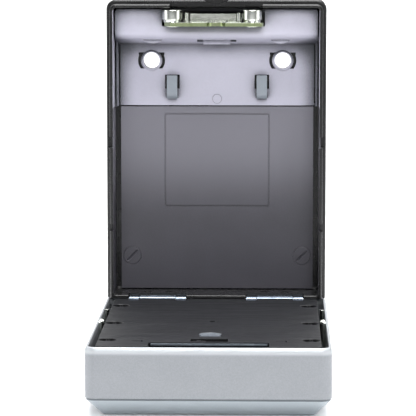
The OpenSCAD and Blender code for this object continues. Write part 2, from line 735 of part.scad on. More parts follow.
module number_ring(i) {
    x = dial_x[i];
    color([0.1, 0.1, 0.11]) swung() difference() {
        bar_x(x - dial_w / 2, x + dial_w / 2, axle_y, dial_z, dial_r);
        bar_x(x - dial_w, x + dial_w, axle_y, dial_z, 6.95);
        // Finger grooves between the numbers, which the comb also rests in
        for (k = [0:9]) translate([0, axle_y, dial_z]) rotate([36 * k + 18, 0, 0])
            bar_x(x - dial_w, x + dial_w, 0, dial_r + 0.35, 0.9);
        translate([0, axle_y, dial_z]) block([x - dial_w, -0.9, -7.7], [x + dial_w, 0.9, 0]);
    }
}

module code_sleeve(i) {
    x = dial_x[i];
    color([0.78, 0.64, 0.34]) swung() difference() {
        union() {
            bar_x(x - dial_w / 2, x + dial_w / 2, axle_y, dial_z, 6.9);
            bar_x(x, x + gate_x + 1.3, axle_y, dial_z, 5);
            bar_x(x + gate_x, x + gate_x + 1.3, axle_y, dial_z, gate_r);
            translate([0, axle_y, dial_z]) block([x - dial_w / 2, -0.8, -7.6], [x + dial_w / 2, 0.8, -6]);
        }
        bar_x(x - dial_w, x + dial_w, axle_y, dial_z, axle_r + fit);
        // Gate that takes a fence tooth
        translate([0, axle_y, dial_z]) block([x + gate_x - 0.1, -1.3, 5.2], [x + gate_x + 2, 1.3, 9]);
    }
}

// ---- Latch, shutter and code change slider ----

module latch_slide() {
    y0 = latch_y - latch_t;
    color([0.8, 0.81, 0.8]) swung() difference() {
        union() {
            slab(y0, latch_y) rounded([-22, 38], [22, 58], 1.5);
            for (s = [-1, 1]) along_x(s * tongue_x - 3, s * tongue_x + 3)
                polygon([[y0, 57], [y0, 63.3], [y0 + 1.2, 64.5], [latch_y, 64.5], [latch_y, 57]]);
        }
        for (s = [-1, 1])
            block([s * spring_x - 2.4, y0 - 1, 40.2], [s * spring_x + 2.4, latch_y + 1, 54.2]);
        bar_y(0, knob_z, 1.25, y0 - 1, latch_y + 1);
    }
}

module release_knob() {
    color([0.12, 0.12, 0.13]) swung() difference() {
        union() {
            slab(-48.4, -46.3) rounded([-9, knob_z - 4], [9, knob_z + 4], 2);
            block([-3, -47, knob_z - 2], [3, latch_y - latch_t, knob_z + 2]);
        }
        for (d = [-2, 0, 2]) bar_x(-7, 7, -48.7, knob_z + d, 0.7);
        bar_y(0, knob_z, 1.25, -39, -25);
    }
}

module knob_screw() {
    color([0.6, 0.61, 0.62]) swung() difference() {
        union() {
            bar_y(0, knob_z, 2, latch_y, latch_y + 1.1);
            bar_y(0, knob_z, 1.2, -38, latch_y + eps);
        }
        translate([0, latch_y + 1.1, knob_z]) for (a = [0, 90]) rotate([0, a, 0])
            block([-1.2, -0.6, -0.25], [1.2, 1, 0.25]);
    }
}

module shutter_cover() {
    low = [-34.6, 3.2];
    high = [34.6, 57.2];
    color([0.12, 0.12, 0.13]) swung() difference() {
        union() {
            slab(front_y, front_in_y - 0.7) rounded(low, high, 1.6);
            for (s = [-1, 1]) {
                block(
                    [s * 33.4 - 1, front_in_y - 0.8, low[1] + 1],
                    [s * 33.4 + 1, front_in_y + 0.5, high[1] - 1]);
                block([s * 34.1 - 1.6, front_in_y + 0.2, 1.6], [s * 34.1 + 1.6, front_in_y + 1.6, 58.2]);
            }
        }
        // Grip grooves near the top edge
        for (k = [0:4]) bar_x(-15, 15, front_y - 0.3, 42 + 2.6 * k, 0.8);
        // Shallow frame line
        slab(front_y - 1, front_y + 0.3) frame_2d([-31, 7], [31, 38], 2, 0.6);
    }
}

module code_change_slider() {
    color([0.2, 0.2, 0.22]) swung() {
        block([-7.6, -24, code_slot_z[0] + 0.4], [-1.6, -22.2, code_slot_z[1] - 0.4]);
        block([-8.6, -25.3, code_slot_z[0] - 1.4], [-0.6, -23.7, code_slot_z[1] + 1.4]);
        block([-5.4, -23, code_slot_z[0] + 1], [-3.8, -21.8, code_slot_z[1] - 1]);
    }
}

rear_housing();
upper_liner();
lower_liner();
key_hooks();
knockout_plugs();
striker_plate();
striker_posts();
striker_screws();
hinge_leaves();
leaf_screws();
hinge_pins();
door_shell();
inner_cover();
cover_screws();
hinge_brackets();
bracket_screws();
side_lugs();
dial_fascia();
lock_chassis();
chassis_screws();
dial_axle();
detent_comb();
fence_bar();
fence_spring();
latch_springs();
number_ring(0);  // number_ring_1
number_ring(1);  // number_ring_2
number_ring(2);  // number_ring_3
number_ring(3);  // number_ring_4
code_sleeve(0);  // code_sleeve_1
code_sleeve(1);  // code_sleeve_2
code_sleeve(2);  // code_sleeve_3
code_sleeve(3);  // code_sleeve_4
latch_slide();
release_knob();
knob_screw();
shutter_cover();
code_change_slider();
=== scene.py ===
"""The looks of the key lock box: finishes, rounded edges, printed digits and a plain studio.

Lengths are in millimetres unless a name says otherwise; MM turns them into Blender's metres.
"""

import json
import math

import bmesh
import bpy
from mathutils import Matrix, Vector


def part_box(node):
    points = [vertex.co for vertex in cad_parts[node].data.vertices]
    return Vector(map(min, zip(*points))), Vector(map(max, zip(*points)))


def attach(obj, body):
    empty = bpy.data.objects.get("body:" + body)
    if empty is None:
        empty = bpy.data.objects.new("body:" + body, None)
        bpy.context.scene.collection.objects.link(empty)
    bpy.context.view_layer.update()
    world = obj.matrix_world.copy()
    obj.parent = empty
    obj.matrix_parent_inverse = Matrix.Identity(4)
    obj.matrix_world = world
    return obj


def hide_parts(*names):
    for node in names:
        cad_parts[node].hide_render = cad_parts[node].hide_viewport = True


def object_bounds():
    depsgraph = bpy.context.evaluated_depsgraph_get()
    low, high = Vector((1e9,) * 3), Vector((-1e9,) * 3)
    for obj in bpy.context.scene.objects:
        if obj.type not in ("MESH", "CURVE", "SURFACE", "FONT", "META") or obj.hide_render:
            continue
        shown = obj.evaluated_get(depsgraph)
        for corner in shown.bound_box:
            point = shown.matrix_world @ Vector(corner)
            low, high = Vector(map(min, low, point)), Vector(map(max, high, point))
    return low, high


MM = 0.001

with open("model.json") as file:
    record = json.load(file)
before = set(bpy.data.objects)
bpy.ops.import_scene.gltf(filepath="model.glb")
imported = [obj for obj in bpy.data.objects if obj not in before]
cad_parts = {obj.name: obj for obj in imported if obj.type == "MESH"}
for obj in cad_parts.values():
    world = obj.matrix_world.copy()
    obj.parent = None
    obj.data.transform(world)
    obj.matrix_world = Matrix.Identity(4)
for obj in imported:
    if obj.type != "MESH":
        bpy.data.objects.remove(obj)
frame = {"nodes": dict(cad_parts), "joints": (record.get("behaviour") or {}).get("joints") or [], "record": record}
cad_box = [list(corner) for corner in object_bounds()]
NODES = frame["nodes"]
SLOT_OF = {part["node"]: part["material_slot"] for part in frame["record"]["subparts"]}
BODY_OF = {node: body for body, nodes in frame["record"]["behaviour"]["bodies"].items() for node in nodes}
EDGE_ANGLE = math.radians(32)
# Points closer than this become one
MERGE_DIST = 0.002


# ---- Camera, floor and light ----

CAMERA_AT = Vector((28.7, -1215.4, 110.8))
CAMERA_AIM = Vector((-0.02733, 1, -0.11458))
SENSOR_W = 36
LENS = 218.2
FLOOR_DROP = 0.2
FLOOR_HALF_M = 12
SKY_COLOUR = (0.96, 0.98, 1.0, 1)
SKY_STRENGTH = 0.17

# Each soft box: its name, place and aim in metres, width, height, watts and spread in degrees
SOFT_BOXES = [
    ("key", (0.25, -1.7, 0.85), (0, 0, 0), 1.0, 0.6, 2.15, 60),
    ("overhead", (0.1, -0.35, 1.2), (0, 0, 0), 1.1, 0.8, 5.8, 70),
    ("left_side", (-1.2, -0.25, 0.3), (0, -0.1, -0.03), 1.0, 0.9, 1.6, 90),
    ("right_side", (1.2, -0.35, 0.35), (0, -0.1, -0.03), 1.0, 0.9, 1.4, 90),
    ("front_floor", (0.1, -3.0, 1.5), (0.1, -3.0, 0), 2.6, 1.6, 24, 100),
    ("backdrop", (0, 3.4, 2.4), (0, 3.4, 0), 7, 6, 330, 180),
]


def make_camera():
    """The photograph's view: level with the top of the box, from a little to its right."""
    data = bpy.data.cameras.new("camera")
    data.sensor_width = SENSOR_W
    data.lens = LENS
    data.clip_end = 100
    camera = bpy.data.objects.new("camera", data)
    camera.location = CAMERA_AT * MM
    camera.rotation_euler = CAMERA_AIM.to_track_quat("-Z", "Y").to_euler()
    bpy.context.scene.collection.objects.link(camera)
    bpy.context.scene.camera = camera


def soft_box(name, place, aim, width, height, watts, spread):
    """A rectangular area light, turned to a point; a small spread narrows its beam."""
    data = bpy.data.lights.new(name, "AREA")
    data.shape = "RECTANGLE"
    data.size = width
    data.size_y = height
    data.energy = watts
    data.spread = math.radians(spread)
    light = bpy.data.objects.new(name, data)
    light.location = place
    light.rotation_euler = (Vector(aim) - Vector(place)).to_track_quat("-Z", "Y").to_euler()
    light.visible_camera = False
    bpy.context.scene.collection.objects.link(light)


def make_world():
    """A faint even light from all round."""
    world = bpy.data.worlds.new("studio")
    world.use_nodes = True
    background = world.node_tree.nodes["Background"]
    background.inputs["Color"].default_value = SKY_COLOUR
    background.inputs["Strength"].default_value = SKY_STRENGTH
    bpy.context.scene.world = world


def make_floor(material):
    """A wide plain floor just under the open door."""
    side, z = FLOOR_HALF_M, cad_box[0][2] - FLOOR_DROP * MM
    mesh = bpy.data.meshes.new("floor")
    corners = [(-side, -side, z), (side, -side, z), (side, side, z), (-side, side, z)]
    mesh.from_pydata(corners, [], [(0, 1, 2, 3)])
    floor = bpy.data.objects.new("floor", mesh)
    floor.data.materials.append(material)
    bpy.context.scene.collection.objects.link(floor)


# ---- Materials ----

# Where a colour, a painted light or a painted shade changes on a part, measured from the part's own box; FAR is
# well past it
SCOOP_FROM_EDGE = 32.5
SCOOP_HALF_W = 5.3
SCOOP_LENGTH = 7
COVER_SKIN = 0.25
STRIKER_PLATE_TOP = 6.3
GROOVE_FROM_RIM = 22.1
BEVEL_H = 9
LEDGE_HALF_W = 48.3
PAINTED_SHEEN_FADE = 62
CHASSIS_LIP = 0.7
FAR = 30


def srgb(*values):
    """Linear colour from 0-255 display values."""
    return tuple(((v / 255 + 0.055) / 1.055) ** 2.4 if v > 10 else v / 255 / 12.92 for v in values)


class Finish:
    """One procedural material, with its texture sizes in millimetres."""

    def __init__(self, name, colour, roughness, metallic=0.0):
        self.material = bpy.data.materials.new(name)
        self.material.use_nodes = True
        self.tree = self.material.node_tree
        self.shader = self.tree.nodes["Principled BSDF"]
        self.shader.inputs["Metallic"].default_value = metallic
        self.shader.inputs["Roughness"].default_value = roughness
        self.colour = self.node("ShaderNodeRGB").outputs[0]
        self.colour.default_value = (*colour, 1)
        self.rough = self.node("ShaderNodeValue").outputs[0]
        self.rough.default_value = roughness
        self.normal = None
        coords = self.node("ShaderNodeTexCoord").outputs["Object"]
        self.place = self.node("ShaderNodeVectorMath", operation="SCALE")
        self.place.inputs["Scale"].default_value = 1 / MM
        self.link(coords, self.place.inputs[0])
        self.place = self.place.outputs[0]

    def node(self, kind, **settings):
        """A new shader node of one kind, with its settings."""
        made = self.tree.nodes.new(kind)
        for key, value in settings.items():
            setattr(made, key, value)
        return made

    def link(self, source, target):
        """Joins an output socket, or the value it stands for, to an input."""
        self.tree.links.new(source, target)

    def noise(self, size, detail=2, stretch=(1, 1, 1)):
        """Smooth noise whose features are about size across, longer along a stretched axis."""
        scaled = self.node("ShaderNodeVectorMath", operation="MULTIPLY")
        self.link(self.place, scaled.inputs[0])
        scaled.inputs[1].default_value = tuple(1 / (size * s) for s in stretch)
        made = self.node("ShaderNodeTexNoise")
        made.inputs["Scale"].default_value = 1
        made.inputs["Detail"].default_value = detail
        self.link(scaled.outputs[0], made.inputs["Vector"])
        return made.outputs["Fac"]

    def flakes(self, size):
        """A random value for each small cell."""
        scaled = self.node("ShaderNodeVectorMath", operation="SCALE")
        self.link(self.place, scaled.inputs[0])
        scaled.inputs["Scale"].default_value = 1 / size
        made = self.node("ShaderNodeTexVoronoi")
        made.inputs["Scale"].default_value = 1
        self.link(scaled.outputs[0], made.inputs["Vector"])
        split = self.node("ShaderNodeSeparateColor")
        self.link(made.outputs["Color"], split.inputs[0])
        return split.outputs[0]

    def ramp(self, value, low, high, to_low=0.0, to_high=1.0):
        """The value's span low..high moved to to_low..to_high, and held past its ends."""
        made = self.node("ShaderNodeMapRange", interpolation_type="SMOOTHSTEP")
        for key, number in zip(("From Min", "From Max", "To Min", "To Max"), (low, high, to_low, to_high)):
            made.inputs[key].default_value = number
        self.link(value, made.inputs["Value"])
        return made.outputs["Result"]

    def vary(self, value, amount, low=0.3, high=0.7):
        """The colour gets lighter and darker by amount with a noise."""
        factor = self.ramp(value, low, high, 1 - amount, 1 + amount)
        made = self.node("ShaderNodeVectorMath", operation="SCALE")
        self.link(self.colour, made.inputs[0])
        self.link(factor, made.inputs["Scale"])
        self.colour = made.outputs[0]

    def tint(self, mask, colour, amount=1.0):
        """The colour turns to another one where the mask is 1."""
        strength = self.ramp(mask, 0, 1, 0, amount)
        made = self.node("ShaderNodeMix", data_type="RGBA")
        self.link(strength, made.inputs["Factor"])
        self.link(self.colour, made.inputs[6])
        made.inputs[7].default_value = (*colour, 1)
        self.colour = made.outputs[2]

    def vary_rough(self, value, amount, low=0.3, high=0.7):
        """The roughness goes up and down by amount with a noise."""
        shift = self.ramp(value, low, high, -amount, amount)
        made = self.node("ShaderNodeMath", operation="ADD", use_clamp=True)
        self.link(self.rough, made.inputs[0])
        self.link(shift, made.inputs[1])
        self.rough = made.outputs[0]

    def bump(self, value, depth):
        """Height from a value of 0 to 1, depth millimetres from its lowest to its highest."""
        made = self.node("ShaderNodeBump")
        made.inputs["Strength"].default_value = 1
        made.inputs["Distance"].default_value = depth * MM
        self.link(value, made.inputs["Height"])
        if self.normal is not None:
            self.link(self.normal, made.inputs["Normal"])
        self.normal = made.outputs["Normal"]

    def edges(self, radius):
        """1 along convex and concave edges within radius, 0 on flat faces."""
        bevel = self.node("ShaderNodeBevel", samples=4)
        bevel.inputs["Radius"].default_value = radius * MM
        geometry = self.node("ShaderNodeNewGeometry")
        flat, turned = 0.995, 0.85
        dot = self.node("ShaderNodeVectorMath", operation="DOT_PRODUCT")
        self.link(bevel.outputs["Normal"], dot.inputs[0])
        self.link(geometry.outputs["Normal"], dot.inputs[1])
        return self.ramp(dot.outputs["Value"], flat, turned, 0, 1)

    def within(self, axis, low, high, soft=0.1):
        """1 between two places along an axis, in millimetres, fading out over soft."""
        split = self.node("ShaderNodeSeparateXYZ")
        self.link(self.place, split.inputs[0])
        place = split.outputs["XYZ".index(axis)]
        return self.both(self.ramp(place, low - soft, low), self.ramp(place, high, high + soft, 1, 0))

    def nooks(self, reach):
        """1 deep in corners and under overhangs, 0 on open faces."""
        shade = self.node("ShaderNodeAmbientOcclusion", samples=8)
        shade.inputs["Distance"].default_value = reach * MM
        deep, open_face = 0.4, 0.97
        return self.ramp(shade.outputs["AO"], deep, open_face, 1, 0)

    def both(self, mask_a, mask_b):
        """1 where both masks are 1."""
        made = self.node("ShaderNodeMath", operation="MULTIPLY")
        self.link(mask_a, made.inputs[0])
        self.link(mask_b, made.inputs[1])
        return made.outputs[0]

    def done(self):
        """The finished material, with its colour, roughness and bumps plugged in."""
        self.link(self.colour, self.shader.inputs["Base Color"])
        self.link(self.rough, self.shader.inputs["Roughness"])
        if self.normal is not None:
            self.link(self.normal, self.shader.inputs["Normal"])
        return self.material


def moulded_plastic(name, colour, roughness, grain, depth, mottle, edge=None):
    """Moulded plastic: spark-eroded grain, faint flow mottling and paler edges, partly rubbed wear and partly a
    painted highlight.
    """
    m = Finish(name, colour, roughness)
    m.vary(m.noise(14, 3), mottle)
    m.vary(m.noise(grain * 1.3, 2), mottle * 1.2)
    m.vary_rough(m.noise(9, 3), 0.05)
    m.bump(m.noise(grain, 3), depth)
    if edge:
        # Paler edges: partly rubbed wear, partly a painted highlight
        m.tint(m.edges(0.25), edge, 0.35)
    return m.done()


def light_plastic():
    """The pale liner plastic: fine grain, and painted shade in its corners and under the ledge."""
    m = Finish("light_plastic", srgb(182, 181, 195), 0.42)
    m.vary(m.noise(14, 3), 0.02)
    m.vary(m.noise(0.4, 2), 0.024)
    m.vary_rough(m.noise(9, 3), 0.05)
    m.bump(m.noise(0.3, 3), 0.012)
    # Painted shade: darker grey deep in corners and under the ledge
    shaded = m.both(m.nooks(14), m.within("X", -LEDGE_HALF_W, LEDGE_HALF_W))
    m.tint(shaded, srgb(44, 48, 54), 0.95)
    return m.done()


def dark_plastic():
    """The dark liner plastic: faint grain, a painted sheen that grows paler towards the seam under the light
    plastic, and darker along its edges.
    """
    m = Finish("dark_plastic", srgb(62, 61, 68), 0.36)
    m.vary(m.noise(14, 3), 0.04)
    m.vary(m.noise(0.7, 2), 0.05)
    m.vary_rough(m.noise(9, 3), 0.03)
    m.bump(m.noise(1.6, 2), 0.004)
    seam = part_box("lower_liner")[1][2] / MM
    # Painted sheen: paler near the seam, fading out down the liner
    m.tint(m.within("Z", seam - 4, seam + 5, PAINTED_SHEEN_FADE), srgb(122, 121, 130), 0.8)
    m.tint(m.edges(0.3), srgb(26, 26, 29), 0.6)
    return m.done()


def black_cast():
    """Black satin powder coat on die-cast zinc: a fine orange peel, and grey along its edges, partly rubbed wear
    and partly a painted edge highlight.
    """
    m = Finish("black_cast", srgb(12, 12, 13), 0.27)
    m.vary(m.noise(11, 3), 0.12)
    m.vary_rough(m.noise(9, 3), 0.04)
    m.bump(m.noise(1.6, 2), 0.006)
    # Grey edges: partly rubbed wear, partly a painted highlight
    m.tint(m.edges(0.3), srgb(52, 52, 55), 0.25)
    return m.done()


def silver_paint():
    """Satin silver paint with fine flake, with painted highlights over its edges, rim and bevel, and a painted
    shade line in the groove.
    """
    m = Finish("silver_paint", srgb(134, 137, 141), 0.42, 0.45)
    m.vary(m.noise(16, 3), 0.02)
    m.vary(m.noise(0.8, 3), 0.03)
    m.vary(m.flakes(0.22), 0.05, 0, 1)
    m.vary_rough(m.noise(1.1, 3), 0.05)
    m.bump(m.noise(0.55, 3), 0.008)
    # Painted highlight along the edges
    m.tint(m.edges(0.3), srgb(205, 210, 215), 0.4)
    rim_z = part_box("door_shell")[1][2] / MM
    groove_z = rim_z - GROOVE_FROM_RIM
    # Painted light: a paler band over the bevel
    m.tint(m.within("Z", groove_z - BEVEL_H, groove_z - 0.6), srgb(160, 168, 173), 0.9)
    # Painted shade: a dark line along the groove
    m.tint(m.within("Z", groove_z - 0.7, groove_z + 0.15), srgb(70, 76, 81), 0.8)
    # Painted highlight: the rounded rim paler
    m.tint(m.within("Z", rim_z - 1.6, rim_z, 2.4), srgb(182, 186, 190), 0.75)
    return m.done()


def inner_cover_plastic():
    """The cover's black-grey plastic: painted shade in its recesses, a painted highlight in the finger scoop and
    painted highlights along its edges.
    """
    m = Finish("cover_plastic", srgb(23, 24, 27), 0.44)
    m.shader.inputs["Specular IOR Level"].default_value = 0.25
    m.vary(m.noise(22, 4, (2, 0.6, 1)), 0.12)
    m.vary(m.noise(0.6, 2), 0.06)
    m.vary_rough(m.noise(9, 3, (2, 0.5, 1)), 0.06)
    m.bump(m.noise(0.5, 3), 0.012)
    low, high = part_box("inner_cover")
    face_z = high[2] / MM
    scoop_y = low[1] / MM + SCOOP_FROM_EDGE
    recess = m.within("Z", face_z - FAR, face_z - COVER_SKIN)
    # Painted shade: everything below the face darkened to near black
    m.tint(recess, srgb(6, 6, 7), 0.9)
    across = m.within("X", -SCOOP_HALF_W, SCOOP_HALF_W)
    along = m.within("Y", scoop_y - SCOOP_LENGTH, scoop_y + SCOOP_HALF_W)
    # Painted highlight in the finger scoop
    m.tint(m.both(recess, m.both(across, along)), srgb(92, 98, 106), 0.9)
    # Painted highlight along the edges
    m.tint(m.edges(0.2), srgb(92, 94, 100), 0.3)
    return m.done()


def plated_metal(name, colour, roughness, stretch=(1, 1, 1), tarnish=None):
    """Plated metal, not yet done: fine drawing lines, uneven gloss and a little tarnish."""
    grain = 0.6
    m = Finish(name, colour, roughness, 1.0)
    m.vary(m.noise(grain, 3, stretch), 0.07)
    m.vary(m.noise(4.5, 3), 0.06)
    m.vary_rough(m.noise(2.2, 3), 0.05)
    m.bump(m.noise(grain, 2, stretch), 0.003)
    if tarnish:
        m.tint(m.ramp(m.noise(3.2, 4), 0.5, 0.75), tarnish, 0.5)
    return m


def striker_zinc():
    """Bright zinc with drawing lines, and a yellow-green passivated plate under the posts."""
    m = plated_metal("zinc_steel", srgb(205, 208, 200), 0.2, (6, 1, 1), srgb(150, 158, 138))
    plate_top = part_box("striker_plate")[0][2] / MM + STRIKER_PLATE_TOP
    m.tint(m.within("Z", plate_top - FAR, plate_top - 0.1), srgb(150, 168, 96), 0.7)
    return m.done()


def chassis_steel():
    """Dark phosphated steel, with a painted highlight along the lip behind the striker notch."""
    m = plated_metal("chassis_steel", srgb(46, 48, 52), 0.42)
    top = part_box("lock_chassis")[1][2] / MM
    # Painted highlight: the lip's top band pale bluish
    m.tint(m.within("Z", top - CHASSIS_LIP, top + 1), srgb(150, 160, 170), 0.8)
    return m.done()


def floor_paper():
    """White studio paper, very slightly uneven."""
    m = Finish("floor_paper", (0.93, 0.93, 0.94), 0.85)
    m.vary(m.noise(60, 3), 0.004)
    return m.done()


def make_materials():
    """One material for each of the record's material slots."""
    along_x, along_z = (5, 1, 1), (1, 1, 4)
    return {
        "black_cast": black_cast(),
        "silver_paint": silver_paint(),
        "light_plastic": light_plastic(),
        "dark_plastic": dark_plastic(),
        "cover_plastic": inner_cover_plastic(),
        "hook_plastic": moulded_plastic("hook_plastic", srgb(134, 141, 149), 0.42, 0.4, 0.012, 0.02),
        "black_plastic": moulded_plastic(
            "black_plastic", srgb(28, 28, 30), 0.42, 0.3, 0.02, 0.06, srgb(64, 64, 68)),
        "shutter_plastic": moulded_plastic(
            "shutter_plastic", srgb(34, 34, 37), 0.5, 0.45, 0.04, 0.08, srgb(70, 70, 74)),
        "dial_plastic": moulded_plastic(
            "dial_plastic", srgb(24, 24, 26), 0.32, 0.4, 0.01, 0.05, srgb(60, 60, 64)),
        "zinc_steel": striker_zinc(),
        "chassis_steel": chassis_steel(),
        "bright_steel": plated_metal("bright_steel", srgb(226, 229, 222), 0.14, along_z).done(),
        "hinge_steel": plated_metal("hinge_steel", srgb(128, 138, 150), 0.34, along_x).done(),
        "screw_steel": plated_metal("screw_steel", srgb(150, 152, 154), 0.32).done(),
        "black_screw": plated_metal("black_screw", srgb(48, 48, 51), 0.4).done(),
        "spring_steel": plated_metal("spring_steel", srgb(170, 170, 166), 0.3).done(),
        "brass": plated_metal("brass", srgb(206, 172, 96), 0.3, along_x, srgb(150, 120, 66)).done(),
    }


# ---- Shapes ----
# The pieces below are drawn as in the CAD: closed, in millimetres, with y = 0 at the wall. A section is
# (half width, low z, high z, corner radius, y). Door pieces are then swung open about the hinge.

HINGE = Vector(next(j["pos_m"] for j in frame["joints"] if j["name"] == "door_hinge"))
SWING = Matrix.Translation(HINGE) @ Matrix.Rotation(math.radians(90), 4, "X") @ Matrix.Translation(-HINGE)
SIDES = (-1, 1)
CORNER_STEPS = 8

# The door: its rim and cover's face, the start of its bevel, its front's two faces
RIM_Y = -21.5
BEVEL_Y = -44
FRONT_IN_Y = -49
FRONT_Y = -51.5
WELL_X = 43.8
WELL_Z = (-44.3, 6.3, 52)

# The housing: its flange, its rim and its back, its wall holes and the striker's screws as (x, z)
FLANGE_Y = -21.2
TRAY_RIM_Y = -26
BACK_Y = -2.2
WALL_HOLES = ((31.5, 43.4), (41, -51))
STRIKER_SCREW = (14, 58.6)

# Where the two meet: the hinges, and the gaps in the rim for the side lugs and pin stubs as (z, half height)
HINGE_X = 28
HINGE_HALF_W = 13.9
GAP_X = 49.7
GAP_HALF_W = 1.8
LUG_GAP = (5.6, 2.6)
STUB_GAP = (-35, 1.8)


def rounded_ring(half_w, low, high, r):
    """Points round a rectangle with round corners, as (x, z)."""
    right, bottom, top = half_w - r, low + r, high - r
    corners = [(right, bottom, -90), (right, top, 0), (-right, top, 90), (-right, bottom, 180)]
    turns = [math.radians(90 * k / CORNER_STEPS) for k in range(CORNER_STEPS + 1)]
    return [
        (x + r * math.cos(math.radians(start) + a), z + r * math.sin(math.radians(start) + a))
        for x, z, start in corners for a in turns
    ]


def at(rect, y, inset=0.0):
    """A section: the rectangle (half width, low z, high z, corner radius), made smaller by inset."""
    half_w, low, high, r = rect
    return half_w - inset, low + inset, high - inset, max(r - inset, 0.25), y


def between(rect_a, rect_b, t, y):
    """A section part of the way from one rectangle to another."""
    return (*(a + (b - a) * t for a, b in zip(rect_a, rect_b)), y)


def rounding(rect, y, across, along, inward, steps):
    """Sections over a rounded edge of the plane y: from along behind the plane to across inside its edge."""
    turns = [math.radians(90 * k / steps) for k in range(steps + 1)]
    return [at(rect, y + inward * along * (1 - math.sin(a)), across * (1 - math.cos(a))) for a in turns]


def loft(name, sections, ring=False):
    """A closed solid through the sections: with flat ends, or with ring=True joined from last to first."""
    bm = bmesh.new()
    rings = [[bm.verts.new((x, y, z)) for x, z in rounded_ring(*size)] for *size, y in sections]
    for a, b in zip(rings, rings[1:] + (rings[:1] if ring else [])):
        for i, j in zip(range(len(a)), [*range(1, len(a)), 0]):
            bm.faces.new((a[i], a[j], b[j], b[i]))
    if not ring:
        bm.faces.new(rings[0])
        bm.faces.new(rings[-1])
    return solid(name, bm)


def solid(name, bm):
    """An object from a finished bmesh."""
    bmesh.ops.recalc_face_normals(bm, faces=bm.faces)
    mesh = bpy.data.meshes.new(name)
    bm.to_mesh(mesh)
    bm.free()
    obj = bpy.data.objects.new(name, mesh)
    bpy.context.scene.collection.objects.link(obj)
    return obj


def block(low, high):
    """A box between two corners."""
    bm = bmesh.new()
    size = [h - l for l, h in zip(low, high)]
    middle = [(l + h) / 2 for l, h in zip(low, high)]
    bmesh.ops.create_cube(bm, size=1, matrix=Matrix.Translation(middle) @ Matrix.Diagonal((*size, 1)))
    return solid("block", bm)


def bar(start, end, r, r_end=None, sides=40):
    """A round bar or cone between two points."""
    start, end = Vector(start), Vector(end)
    bm = bmesh.new()
    turn = (end - start).to_track_quat("Z", "Y").to_matrix().to_4x4()
    bmesh.ops.create_cone(
        bm, cap_ends=True, segments=sides, radius1=r, radius2=r if r_end is None else r_end,
        depth=(end - start).length, matrix=Matrix.Translation((start + end) / 2) @ turn)
    return solid("bar", bm)


def post(x, z, start, end, r, r_end=None, sides=40):
    """A round bar or cone along y, between two planes."""
    return bar((x, start, z), (x, end, z), r, r_end, sides)


def carve(obj, tools, how="DIFFERENCE"):
    """Cuts the tools from obj, or joins them to it, one after another."""
    for tool in tools:
        step = obj.modifiers.new("carve", "BOOLEAN")
        step.operation = how
        step.solver = "EXACT"
        step.object = tool
    bpy.context.view_layer.update()
    result = bpy.data.meshes.new_from_object(obj.evaluated_get(bpy.context.evaluated_depsgraph_get()))
    obj.modifiers.clear()
    obj.data = result
    for tool in tools:
        bpy.data.objects.remove(tool)
    return obj


def put_in_place(obj, node, material, swung, stands_for=True):
    """Turns a drawn piece into a finished one: in metres, open if swung, shaded, riding with its CAD node."""
    bm = bmesh.new()
    bm.from_mesh(obj.data)
    bmesh.ops.remove_doubles(bm, verts=bm.verts, dist=MERGE_DIST)
    bmesh.ops.dissolve_degenerate(bm, edges=bm.edges, dist=MERGE_DIST / 2)
    bm.to_mesh(obj.data)
    bm.free()
    obj.data.transform(Matrix.Diagonal((MM, MM, MM, 1)))
    if swung:
        obj.data.transform(SWING)
    obj.data.materials.clear()
    obj.data.materials.append(material)
    obj.data.polygons.foreach_set("material_index", [0] * len(obj.data.polygons))
    obj.data.polygons.foreach_set("use_smooth", [True] * len(obj.data.polygons))
    obj.data.set_sharp_from_angle(angle=EDGE_ANGLE)
    shade = obj.modifiers.new("shade", "WEIGHTED_NORMAL")
    shade.keep_sharp = True
    shade.weight = 90
    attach(obj, BODY_OF[node])
    if stands_for:
        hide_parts(node)


def door_bosses():
    """The door's bosses for the cover's screws and the hinge brackets, and a stub in each lower corner."""
    foot_y, bracket_z, stub_x, stub_z = FRONT_IN_Y - 1, -60, 49.9, -66.3
    bosses = [post(s * WELL_X, z, foot_y, -27.2, 3) for s in SIDES for z in WELL_Z]
    bosses += [post(s * HINGE_X + d, bracket_z, foot_y, -24.8, 2.6) for s in SIDES for d in (-6, 6)]
    bosses += [post(s * stub_x, stub_z, -45, -26.4, 0.9) for s in SIDES]
    return bosses


def door_shell(material):
    """The silver door: a tray with a generously rounded rim, a wide bevel and a window for the lock."""
    outer, inner = (52.5, -73, 73, 4.7), (51, -71.3, 71.3, 3.2)
    nose, inner_nose = (45, -65.5, 65.5, 1), (44.67, -65.17, 65.17, 1)
    window = (35, -52.5, 57.5, 2)
    sections = [
        *rounding(inner, RIM_Y, -0.35, 0.35, -1, 4),
        *reversed(rounding(outer, RIM_Y, 1.1, 2.3, -1, 10)),
        at(outer, BEVEL_Y + 0.5),
        at(outer, BEVEL_Y + 0.42, 0.1),
        at(outer, BEVEL_Y + 0.34, 0.45),
        at(outer, BEVEL_Y, 0.5),
        between(outer, nose, 0.06, BEVEL_Y - 0.18),
        between(outer, nose, 0.075, BEVEL_Y - 0.56),
        between(outer, nose, 0.955, BEVEL_Y - 7.16),
        between(outer, nose, 0.988, FRONT_Y + 0.12),
        at(nose, FRONT_Y, 0.45),
        *reversed(rounding(window, FRONT_Y, -0.4, 0.4, 1, 4)),
        at(window, FRONT_IN_Y),
        at(inner_nose, FRONT_IN_Y),
        at(inner, -42.65),
    ]
    shell = loft("door_shell_cast", sections, ring=True)
    carve(shell, door_bosses(), "UNION")
    left, right = -HINGE_HALF_W, HINGE_HALF_W
    hinges = [s * HINGE_X for s in SIDES]
    carve(shell, [block((x + left, -25, -74), (x + right, -20.5, -70.8)) for x in hinges])
    put_in_place(shell, "door_shell", material, swung=True)


def rim_gap(side, gap, depth):
    """The gap in one side rim for a lug or a stub, down to depth behind the flange's face."""
    x, (z, half_h) = side * GAP_X, gap
    low = (x - GAP_HALF_W, TRAY_RIM_Y - 1, z - half_h)
    return block(low, (x + GAP_HALF_W, FLANGE_Y + depth, z + half_h))


